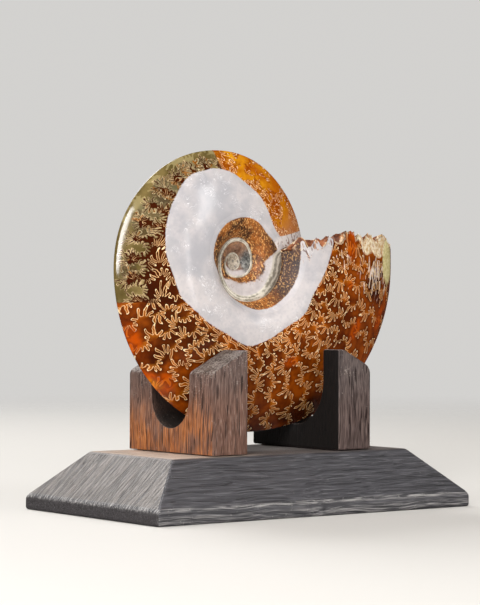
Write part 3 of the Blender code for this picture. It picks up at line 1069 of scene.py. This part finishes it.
# %% Milky band
MILK, FIBRES = ((178, 175, 178), (210, 202, 200)), ((226, 216, 210), (140, 104, 84))
CLOUD, CURL = (170, 167, 173), (250, 248, 248)
veil = ramp(white + side * 0.15 + fine[2] * 0.1 + middle[0] * 0.3, -0.2, 0.2)
milk = shades(broad[1] + middle[2] * 0.6, -0.6, 0.6, *MILK)
milk = blend(ramp(fine[1] + middle[0] * 0.5, -0.2, 0.6) * 0.3, milk, CLOUD)
curls = line * ramp(middle[1] + broad[0] * 0.5, 0.05, 0.45)
milk = blend(curls * (tip * 0.35 + 0.3), milk, CURL)
scar = ramp(deep + middle[0] * 0.04, -0.37, -0.27) * ramp(deep, -0.15, -0.18)
milk = blend(scar * 0.9, milk, shades(folds[2] + fine[0] * 0.6, 0.0, 0.5, *FIBRES))
gap = ramp(folds[2] + middle[0] * 0.2 + fine[0] * 0.1 - below * 0.07, -0.06, 0.1) * ramp(below, 6.0, 3.0)
stone = blend(veil * (1.0 - gap * 0.8), stone, milk)
print("nodes after the milky band:", len(tree.nodes))

# %% [markdown]
# ### Middle of the coil
#
# The older whorls are brown, with gold flecks crowded together, and painted shade darkens them on the right,
# where the wall faces away from the light. Further in come a pearly stretch, a slate-grey one that is partly
# painted shade on its right, and the pale eye. The cream bead runs along the seam on top of them all, dimmed
# on the right by the same painted shade, with a line of painted shade at its foot.

# %% Brown ring with flecks
UMBER, INNER_UMBER = ((60, 26, 4), (174, 98, 22)), ((92, 60, 44), (168, 132, 108))
umber = shades(middle[1] + fine[0] * 0.5, -0.5, 0.6, *UMBER)
inner = ramp(deep + middle[0] * 0.3, 1.5, 2.3)
umber = blend(inner * 0.8, umber, shades(middle[2] + fine[1] * 0.6, -0.6, 0.6, *INNER_UMBER))
# Painted shade on the right side of the ring, where the steep wall is in shadow.
shade_on_right = ramp(x_mm - 1000 * COIL_X, 6.0, 13.0)
umber = blend(shade_on_right * 0.85, umber, (46, 20, 11))
sparks = noise(vector_of(x_mm * 2.0 + z_mm * 0.4, y_mm * 2.0, z_mm * 1.4), 1.0, 1.0, 0.5, 0.3)
crowd = ramp(middle[2] + fine[2] * 0.5, -0.6, 0.4, 0.4, 1.0)
spark = ramp(sparks[0], 0.1, 0.3) * (1.0 - inner * 0.8) * (1.0 - shade_on_right * 0.5) * crowd
umber = blend(spark, umber, (226, 170, 100))
umber = blend(ramp(sparks[1], 0.15, 0.5) * 0.6 * (1.0 - inner * 0.8), umber, (48, 20, 6))
stone = blend(ramp(ring + fine[1] * 0.12, -0.12, 0.12), stone, umber)
print("nodes after the brown ring:", len(tree.nodes))

# %% Pearl, slate and the eye
pearl = shades(middle[2] + fine[1] * 0.5, -0.8, 0.8, (182, 172, 170), (208, 198, 195))
pearl = blend(ramp(flecks[2] + middle[0] * 0.8, 0.35, 0.8) * 0.6, pearl, (146, 108, 88))
stone = blend(ramp(lilac + middle[1] * 1.1 + fine[1] * 0.6, -0.5, 0.5), stone, pearl)
slate = shades(fine[0] + flecks[2] * 0.6, -0.5, 0.6, (52, 52, 50), (142, 140, 134))
# Slate grey on the second turn: partly the stone's own grey, partly painted shade right of the coil's middle.
stone = blend(ramp(slate_and_shade + middle[2] * 0.25 + fine[1] * 0.2, 0.2, 0.75), stone, slate)
eye = shades(fine[0] + flecks[1] * 0.5, -0.6, 0.3, (104, 96, 84), (186, 172, 152))
stone = blend(ramp(deep + middle[0] * 0.15, 5.2, 5.7) * 0.9, stone, eye)
print("nodes after the eye:", len(tree.nodes))

# %% Bead along the seam
stripes = maths("SINE", bead * 15.0 + middle[2] * 2.4 + fine[0] * 1.4)
cord = shades(stripes * 0.4 + middle[1] * 1.1 + fine[1] * 0.9, -0.9, 0.6, (136, 128, 110), (220, 212, 196))
# The same painted shade dims the cord on the right.
cord_in_shade = shades(stripes + fine[1] * 0.6, -0.7, 0.9, (84, 70, 60), (160, 146, 132))
cord = blend(shade_on_right * 0.75, cord, cord_in_shade)
stone = blend(ramp(bead, 0.02, 0.1), stone, cord)
# Painted shade: a dark line along the bead's foot at the seam, where the crease is in shadow.
stone = blend(ramp(bead + fine[0] * 0.1, 0.86, 1.0) * 0.6, stone, (84, 64, 48))
print("nodes after the bead:", len(tree.nodes))

# %% [markdown]
# ### The break
#
# Along the broken edge the polish stops. What shows is pale folded crust with orange and brown hollows, the
# hollows laid darker partly as the crust's own brown and partly as painted shade, and the broken end itself
# is brown inside a pale rim. A patch of yellow-green calcite sits by the outer edge.

# %% Crust, patch and broken end
CRUST_PALE, CRUST_HOLLOW_AND_SHADE = ((204, 164, 110), (252, 240, 212)), ((140, 76, 36), (212, 148, 86))
YELLOW_GREEN, END_BROWN = ((204, 188, 126), (236, 222, 168)), ((84, 38, 14), (176, 98, 42))
rough = ramp(below - 0.9 - crust * 7.0 + fine[0] * 0.6 + middle[2] * 1.8, -0.4, 0.4, 1.0, 0.0)
rough = rough * ramp(white, -1.0, 0.3, 1.0, 0.0)
# The hollows follow the low places of the relief, so their darker colour is partly painted shade.
hollow_and_shade = ramp(folds[0] * 0.7 + middle[1] * 0.6 + fine[1] * 0.3, -0.05, 0.35)
crest = shades(fine[2] + middle[1], -0.5, 0.5, *CRUST_PALE)
crest = blend(hollow_and_shade * 0.85, crest, shades(fine[0], -0.5, 0.5, *CRUST_HOLLOW_AND_SHADE))
stone = blend(rough * (1.0 - glow * 0.9), stone, crest)
yellow_green = shades(fine[0] + folds[1] * 0.5, -0.5, 0.5, *YELLOW_GREEN)
stone = blend(ramp(patch + middle[1] * 0.15 + fine[1] * 0.08, 0.3, 0.5), stone, yellow_green)
end_stone = shades(middle[0] + fine[1] * 0.6, -0.6, 0.7, *END_BROWN)
end_stone = blend(ramp(below + middle[2] * 2.5 + folds[1] * 2.0, 0.3, 1.6, 1.0, 0.0), end_stone, crest)
stone = blend(broken, stone, end_stone)
print("nodes after the break:", len(tree.nodes))

# %% [markdown]
# ### Polish
#
# The flanks are buffed to a mirror, but the steep wall down into the middle of the coil can't be reached by
# a wheel and stays duller, and the break isn't polished at all.

# %% Polish and relief
dull_depth, dull_edge = ramp(ring, -9.0, -3.0, 0.0, 0.12), ramp(ring, -2.0, 0.5, 0.0, 0.35)
gloss = ramp(middle[1] + fine[1], -1.5, 1.5, 0.08, 0.17)
feed(surface.inputs["Base Color"], stone)
feed(surface.inputs["Roughness"], gloss + (broken + rough) * 0.5 + dull_depth + dull_edge)
surface.inputs["IOR"].default_value = 1.5
relief = middle[0] * 0.1 + (broken + rough) * (fine[0] * 0.5 + flecks[0] * 0.4 - folds[0] * 1.4)
add_bump(surface, relief, strength=0.35, distance=0.0004)
ammonite.data.materials.append(material)
print("polished stone:", len(tree.nodes), "nodes")

# %% [markdown]
# ## Wood
#
# The blocks are a reddish open-pored hardwood, scorched dark at the tops, with the grain upright. The insides
# of the notches are painted near black as shade. The plinth is the same wood stained black, with the grain
# along it. Both have long pores, streaks and rubbed edges, so these are groups, and each wood sets its own
# colours and directions. The grain is noise stretched along one axis of the object, which runs through the
# piece as real grain does and needs no unwrap.

# %% Grain and scuff groups
def build_grain():
    """Streaks, long pores and fibres that run along Z of the given place, in millimetres."""
    tree, given, made = new_group("long grain", {"Place": None, "Length": 1.0}, ("Streak", "Pore", "Fibre"))
    x, y, z = parts_of(given["Place"])
    sway = noise(given["Place"], 0.05, 1.0)
    x = x + sway[0] * 0.9
    y = y + sway[1] * 0.9
    z = z / given["Length"]
    streak = noise(vector_of(x * 1.3, y * 1.3, z * 0.03), 1.0, 3.0, 0.65)
    pore = noise(vector_of(x * 2.4, y * 2.4, z * 0.14), 1.0, 0.0)
    fibre = noise(vector_of(x * 3.6, y * 3.6, z * 0.3), 1.0, 1.0)
    feed(made["Streak"], streak[0])
    feed(made["Pore"], ramp(pore[0] + streak[1] * 0.6, 0.38, 0.52))
    feed(made["Fibre"], fibre[0])
    return tree


def build_scuffs():
    """Small pale rubs and specks, from 0 to 1, where the wood has been handled."""
    tree, given, made = new_group("scuffs", {"Place": None, "Amount": 0.0}, ("Scuff",))
    specks = noise(given["Place"], 1.7, 2.0, 0.6)
    patches = noise(given["Place"], 0.25, 1.0)
    feed(made["Scuff"], ramp(specks[0] + patches[1] * 0.4 + given["Amount"], 0.35, 0.75))
    return tree


grain, scuffs = build_grain(), build_scuffs()
print("nodes in the grain:", len(grain.nodes), "and in the scuffs:", len(scuffs.nodes))


# %% What both woods share
RELIEF, RELIEF_HEIGHT = 0.8, 0.0003  # strength of the grain's relief, and its height in metres


def facing(tree):
    """The three parts of the surface's own direction."""
    return parts_of(tree.nodes.new("ShaderNodeNewGeometry").outputs["Normal"])


def finish_wood(surface, colour, relief, roughness, shine):
    """Wood is waxed, not varnished, so its shine is well below the shader's usual 0.5."""
    feed(surface.inputs["Base Color"], colour)
    feed(surface.inputs["Roughness"], roughness)
    surface.inputs["Specular IOR Level"].default_value = shine
    add_bump(surface, relief, strength=RELIEF, distance=RELIEF_HEIGHT)


print("relief of the grain, mm:", 1000 * RELIEF_HEIGHT)

# %% [markdown]
# ### Cradle wood
#
# The maker charred the tops and brushed them. The insides of the notches and the inner face of each block
# are painted near black as shade. Low on the outer face the raw orange wood still shows. The right block is
# greyer than the left one.

# %% Cradle wood
RED_WOOD, GREY_WOOD = ((80, 55, 46), (142, 107, 91)), ((56, 50, 52), (104, 94, 92))
ORANGE_WOOD, CHAR_TONES = ((156, 84, 34), (206, 130, 66)), ((64, 58, 58), (112, 102, 98))
TOP_WOOD = (54, 47, 44), (106, 92, 84)


def cradle_material(name, inward, grey):
    """Inward is the X direction of the inner face, painted near black as shade, and grey the share of grey in
    the rest.
    """
    material, tree, surface = new_material(name)
    place = millimetres(tree)
    _, y, z = parts_of(place)
    made = place_group(grain, Place=place)
    streak, pore, fibre = (made[title] for title in ("Streak", "Pore", "Fibre"))
    cloud = noise(place, 0.09, 3.0)
    facing_x, _, facing_z = facing(tree)
    outer = ramp(facing_x * -inward, 0.5, 0.8)
    wood = shades(streak + fibre * 0.7, -0.9, 0.9, *RED_WOOD)
    wood = blend(ramp(fibre + cloud[1] * 0.4, 0.2, 0.7) * 0.45, wood, (172, 152, 142))
    wood = blend(grey, wood, shades(streak + fibre * 0.6, -0.6, 0.6, *GREY_WOOD))
    orange = outer * ramp(z + cloud[0] * 8.0, 22.0, 40.0, 1.0, 0.0) * ramp(cloud[1] + streak * 0.8, -0.6, 0.3)
    wood = blend(orange * 0.75, wood, shades(fibre + streak, -0.6, 0.8, *ORANGE_WOOD))
    char = ramp(z + cloud[2] * 6.0 + streak * 3.0, 28.0, 47.0) * 0.75
    wood = blend(char * 0.8, wood, shades(fibre + streak * 0.5, -0.6, 0.7, *CHAR_TONES))
    wood = blend(pore * 0.85, wood, (38, 26, 23))
    top = ramp(facing_z, 0.35, 0.7)
    wood = blend(top * 0.8, wood, shades(streak + cloud[0], -0.6, 0.6, *TOP_WOOD))
    # Painted shade: the notch and the inner face are laid near black, as if in deep shadow.
    notch = ramp(abs(y), 17.0, 14.0) * ramp(abs(facing_x), 0.3, 0.12)
    shaded = maths("MAXIMUM", ramp(facing_x * inward, 0.5, 0.8) * 0.97, notch * 0.85)
    wood = blend(shaded, wood, (10, 6, 4))
    rub = place_group(scuffs, Place=place, Amount=char * 0.45 + top * 0.35 - 0.22 + outer * 0.12)
    wood = blend(rub["Scuff"] * (1.0 - shaded) * 0.6, wood, (180, 168, 160))
    roughness = ramp(streak, -1.0, 1.0, 0.45, 0.65) + shaded * 0.3
    finish_wood(surface, wood, fibre * 0.3 + streak * 0.4 - pore, roughness, shine=0.2)
    return material


left_wood = cradle_material("scorched hardwood", inward=1, grey=0.0)
right_wood = cradle_material("scorched grey hardwood", inward=-1, grey=0.7)
print("cradle wood:", len(left_wood.node_tree.nodes), "nodes each")

# %% [markdown]
# ### Plinth wood
#
# The plinth is planed with its grain along X. Its ends are sloped across the grain and laid pale grey, partly
# worn and partly painted sheen, and the plane has left streaks that run up the slope, so a second grain is
# laid there. Near the left end the flat top is laid pale, partly lost stain and partly painted sheen, and the
# long lower edge is laid pale, partly rubbed and partly a painted highlight along the arris.

# %% Plinth wood
END_SLOPE = math.atan(13.8 / 14.7)  # of the plinth's ends: rise over run
WORN_AND_SHEEN, BARE_TOP_AND_SHEEN = ((72, 64, 58), (156, 146, 137)), ((184, 160, 142), (224, 204, 186))


def plinth_material():
    material, tree, surface = new_material("ebonised hardwood")
    place = millimetres(tree, (0, math.pi / 2, 0))
    x, y, z = parts_of(millimetres(tree))
    run = abs(x)
    up_slope = z * math.sin(END_SLOPE) - run * math.cos(END_SLOPE)
    into_slope = run * math.sin(END_SLOPE) + z * math.cos(END_SLOPE)
    along = place_group(grain, Place=place, Length=2.5)
    rising = place_group(grain, Place=vector_of(into_slope, y, up_slope), Length=1.5)
    facing_x, _, facing_z = facing(tree)
    end = ramp(abs(facing_x), 0.4, 0.6)
    streak, pore, fibre = (chosen(end, rising[name], along[name]) for name in ("Streak", "Pore", "Fibre"))
    wood = shades(streak + fibre * 0.9, -1.0, 1.1, (60, 59, 61), (96, 94, 98))
    wood = blend(ramp(fibre + streak * 0.3, 0.25, 0.6) * 0.35, wood, (140, 138, 139))
    wood = blend(pore * 0.4, wood, (26, 25, 27))
    # Painted sheen on the sloped ends, laid as pale worn grey.
    wood = blend(end * ramp(z, 4.6, 5.4) * 0.6, wood, shades(streak + fibre * 0.5, -0.4, 0.4, *WORN_AND_SHEEN))
    wood = blend(end * ramp(z, 4.4, 3.6) * 0.45, wood, (50, 42, 38))
    # Painted sheen on the left of the flat top, laid as pale bare wood where the stain is partly lost.
    bare = ramp(facing_z, 0.9, 0.98) * ramp(x, -6.0, -30.0, 0.15, 0.9)
    wood = blend(bare, wood, shades(streak, -0.6, 0.6, *BARE_TOP_AND_SHEEN))
    # Painted highlight along the lower arris, laid as a pale rubbed band.
    low_edge_rub_and_highlight = ramp(z, 3.4, 4.4) * ramp(z, 5.4, 4.6) + ramp(z, 3.4, 2.0) * (1.0 - end) * 0.5
    wood = blend(low_edge_rub_and_highlight * ramp(streak + fibre * 0.8, -0.3, 0.6) * 0.85, wood, (186, 182, 178))
    rub = place_group(scuffs, Place=place, Amount=low_edge_rub_and_highlight * 0.25 - 0.12 - end * 0.06)
    wood = blend(rub["Scuff"] * 0.55, wood, (178, 174, 170))
    roughness = ramp(streak, -1.0, 1.0, 0.36, 0.52)
    finish_wood(surface, wood, fibre * 0.4 + streak * 0.4 - pore, roughness, shine=0.35)
    return material


for part_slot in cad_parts["plinth"].material_slots:
    part_slot.material = plinth_material()
print("plinth:", len(part_slot.material.node_tree.nodes), "nodes")

# %% [markdown]
# ### Rubbed blocks
#
# The blocks have been handled: the arris between the sloping top and the outer face is rubbed to a wide
# round. A Bevel modifier would catch the small rounds that are already there. So a copy of the block is cut
# into strips by planes fanned round the axis of the new round, and the strips are drawn in towards that
# axis.

# %% Cut a block into strips
BLOCK_TOP = 0.0493  # height of the inner edge above the floor
STRIPS = 9


def block_in_strips(name, side, slope, axis):
    """A copy of the block's mesh, cut by planes through the axis that fan round from one face's way to the
    other's."""
    solid = bmesh.new()
    solid.from_mesh(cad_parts[name].data)
    bmesh.ops.remove_doubles(solid, verts=solid.verts, dist=1e-6)
    for way in np.linspace(0, 1, STRIPS + 1):
        ray = side.lerp(slope, way).normalized()
        everything = solid.verts[:] + solid.edges[:] + solid.faces[:]
        bmesh.ops.bisect_plane(solid, geom=everything, dist=1e-6, plane_co=axis, plane_no=(ray.z, 0, -ray.x))
    bmesh.ops.triangulate(solid, faces=solid.faces)
    mesh = bpy.data.meshes.new(name + "_rubbed")
    solid.to_mesh(mesh)
    solid.free()
    return mesh


print("strips round a corner:", STRIPS)


# %% Rub the blocks
def rubbed_block(name, outward, outer_top, flat, rub, wood):
    """Each point in the wedge between the two faces moves towards the axis of the round, by the radius of
    the round over the distance at which its ray meets the old faces. Outward is the X direction of the outer
    face, outer_top its height, flat the level part of the top, and rub the radius of the round."""
    low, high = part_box(name)
    outer_x = high.x if outward > 0 else low.x
    run, drop = (high.x - low.x) - flat, BLOCK_TOP - outer_top
    side = Vector((outward, 0, 0))
    slope = Vector((outward * drop, 0, run)).normalized()
    axis = Vector((outer_x, 0, outer_top)) - (side + slope) * (rub / (1 + side.dot(slope)))
    mesh = block_in_strips(name, side, slope, axis)
    place = np.empty(len(mesh.vertices) * 3, np.float32)
    mesh.vertices.foreach_get("co", place)
    place = place.reshape(-1, 3)
    from_axis = (place - np.array(axis)) * (1, 0, 1)
    far = np.linalg.norm(from_axis, axis=1)
    ray = from_axis / np.maximum(far, 1e-9)[:, None]
    facing_side, facing_slope = ray @ np.array(side), ray @ np.array(slope)
    inside = (np.minimum(facing_side, facing_slope) >= side.dot(slope) - 1e-6) & (far > 1e-6)
    old = rub / np.maximum(facing_side, facing_slope)
    place[inside] -= (from_axis * (1 - rub / old)[:, None])[inside]
    mesh.vertices.foreach_set("co", place.ravel())
    mesh.update()
    mesh.shade_smooth()
    mesh.set_sharp_from_angle(angle=math.radians(28))
    block = bpy.data.objects.new(name + "_rubbed", mesh)
    bpy.context.scene.collection.objects.link(block)
    mesh.materials.append(wood)
    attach(block, "root")
    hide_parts(name)
    print(name, "rubbed:", int(inside.sum()), "points moved,", len(mesh.polygons), "triangles")


rubbed_block("left_cradle", -1, outer_top=0.0426, flat=0.0004, rub=0.0022, wood=left_wood)
rubbed_block("right_cradle", 1, outer_top=0.0439, flat=0.0026, rub=0.0036, wood=right_wood)

# %% [markdown]
# ## Floor
#
# The stand is shown on a plain pale floor. It is a round sheet that thins to nothing far from the stand,
# because the edge of a solid floor would draw a line across the backdrop. It is left out of the
# reflections, so that the polish stays as deep as it is over a dark table.

# %% Floor
FLOOR_REACH = 1.6
FADE_START, FADE_END = 0.25, 1.0  # distances from the middle between which the floor thins to nothing


def make_floor():
    """A flat disc, as rings of points round its middle."""
    radius = np.linspace(0, FLOOR_REACH, 25)
    turn = np.linspace(0, 2 * math.pi, 97)[:-1]
    across, along = radius[:, None] * np.cos(turn), radius[:, None] * np.sin(turn)
    grid = np.stack([across, along, np.zeros_like(across)], axis=-1)
    number = np.arange(across.size).reshape(across.shape)
    number = np.concatenate([number, number[:, :1]], axis=1)
    number[0] = 0
    triangles = halves(quads(number.T)[:, ::-1])
    return mesh_from("floor", grid.reshape(-1, 3), triangles[has_area(triangles)])


def floor_material():
    """Matt pale paint, with less and less cover between the two fade distances."""
    material, tree, surface = new_material("pale floor")
    x, y, _ = parts_of(tree.nodes.new("ShaderNodeTexCoord").outputs["Object"])
    far = maths("SQRT", x * x + y * y)
    surface.inputs["Base Color"].default_value = linear(222, 218, 212)
    surface.inputs["Roughness"].default_value = 0.7
    feed(surface.inputs["Alpha"], ramp(far, FADE_START, FADE_END, 1.0, 0.0))
    return material


floor = make_floor()
floor.data.materials.append(floor_material())
floor.visible_glossy = False
print("floor:", len(floor.data.polygons), "triangles")

# %% [markdown]
# ## Camera
#
# The camera stands low, level with the shell, and looks along one corner of the plinth through a long lens,
# so that the near block isn't swollen. Its place is given as the point looked at, three turns and a
# distance, which are easier to adjust than a position and Euler angles.

# %% Camera
centre = (CAD_BOX[0] + CAD_BOX[1]) / 2
target = centre + Vector((-0.0029, 0.0017, 0.0085))
YAW, PITCH, ROLL = (math.radians(turn) for turn in (37.23, 0.32, 0.21))
DISTANCE, SENSOR, LENS = 0.6764, 36, 129.46  # metres, then two in millimetres
forward = Vector((math.sin(YAW) * math.cos(PITCH), math.cos(YAW) * math.cos(PITCH), math.sin(PITCH)))
level_right = forward.cross(Vector((0, 0, 1))).normalized()
level_up = level_right.cross(forward)
right = level_right * math.cos(ROLL) + level_up * math.sin(ROLL)
up = level_up * math.cos(ROLL) - level_right * math.sin(ROLL)
camera = bpy.data.objects.new("camera", bpy.data.cameras.new("camera"))
turn = Matrix((right, up, -forward)).transposed().to_4x4()
camera.matrix_world = Matrix.Translation(target - forward * DISTANCE) @ turn
camera.data.sensor_width = SENSOR
camera.data.lens = LENS
camera.data.clip_start, camera.data.clip_end = 0.01, 50
bpy.context.scene.collection.objects.link(camera)
bpy.context.scene.camera = camera
print("camera at", [round(c, 3) for c in camera.matrix_world.translation])

# %% [markdown]
# ## Lights
#
# A polished shell shows the shape of whatever lights it. So the lamps that may be seen in the polish are
# few and narrow: a long strip that draws the bright line down the rim, and two at the front for small
# gleams. The lamps that only brighten the wood and the stone are wide and soft and are kept out of the
# reflections.

# %% Lights
def softbox(name, top, bottom, width, power, glossy=True, diffuse=True):
    """A soft strip of light between two points given from the object's middle, facing the object."""
    top, bottom = Vector(top), Vector(bottom)
    lamp = bpy.data.lights.new(name, "AREA")
    lamp.shape = "RECTANGLE"
    lamp.size, lamp.size_y = width, (top - bottom).length
    lamp.energy = power
    away = ((top + bottom) / 2).normalized()
    side = (top - bottom).cross(away).normalized()
    turn = Matrix((side, away.cross(side), away)).transposed().to_4x4()
    thing = bpy.data.objects.new(name, lamp)
    thing.visible_glossy = glossy
    thing.visible_diffuse = diffuse
    thing.visible_camera = False
    thing.matrix_world = Matrix.Translation(centre + (top + bottom) / 2) @ turn
    bpy.context.scene.collection.objects.link(thing)


RIM_STRIP = (-0.453, -0.486, 0.62), (-0.754, -0.589, 0.03)
softbox("rim light", *RIM_STRIP, 0.26, 11.6, diffuse=False)
softbox("rim fill", *RIM_STRIP, 0.22, 7.2, glossy=False)
softbox("front", (0.40, -0.66, 0.55), (0.46, -0.78, 0.30), 0.15, 0.8)
softbox("low front", (0.27, -0.85, 0.30), (0.29, -0.86, -0.03), 0.045, 0.22)
softbox("front fill", (0.36, -0.60, 0.62), (0.50, -0.78, 0.20), 0.34, 1.1, glossy=False)
softbox("left", (-0.80, 0.16, 0.62), (-0.86, 0.16, 0.08), 0.22, 1.7, glossy=False)
softbox("above", (0.0, 0.25, 1.0), (0.0, -0.45, 1.0), 0.7, 2.3, glossy=False)
softbox("back", (0.06, 0.62, 0.90), (0.0, 0.94, 0.42), 0.5, 7.0)
print("lamps:", ", ".join(lamp.name for lamp in bpy.data.lights))

# %% [markdown]
# ### Backdrop
#
# Past the floor there is only the world's own colour. It is pale to the camera, much dimmer as a light, and
# nearly black in the polish, because a glossy stone under an even pale sky looks milky. The Light Path node
# tells the three apart. A pale card behind the object would do the same, but its edge would show.

# %% World
SEEN, AS_LIGHT, IN_POLISH = 0.62, 0.14, 0.03  # strength for the camera, for soft light, and for everything


def studio_world():
    """Pale to the camera and dimmer as a light, so that the backdrop doesn't wash out the polish."""
    world = bpy.data.worlds.new("studio")
    world.use_nodes = True
    tree = world.node_tree
    sky = tree.nodes["Background"]
    rays = tree.nodes.new("ShaderNodeLightPath")
    sky.inputs["Color"].default_value = (1.0, 0.985, 0.96, 1)
    pale, soft = Wire(rays.outputs["Is Camera Ray"]), Wire(rays.outputs["Is Diffuse Ray"])
    feed(sky.inputs["Strength"], pale * SEEN + soft * AS_LIGHT + IN_POLISH)
    return world


bpy.context.scene.world = studio_world()
bpy.context.scene.view_settings.view_transform = "Standard"
print("strength of the backdrop:", SEEN + IN_POLISH, "and of its light:", AS_LIGHT + IN_POLISH)
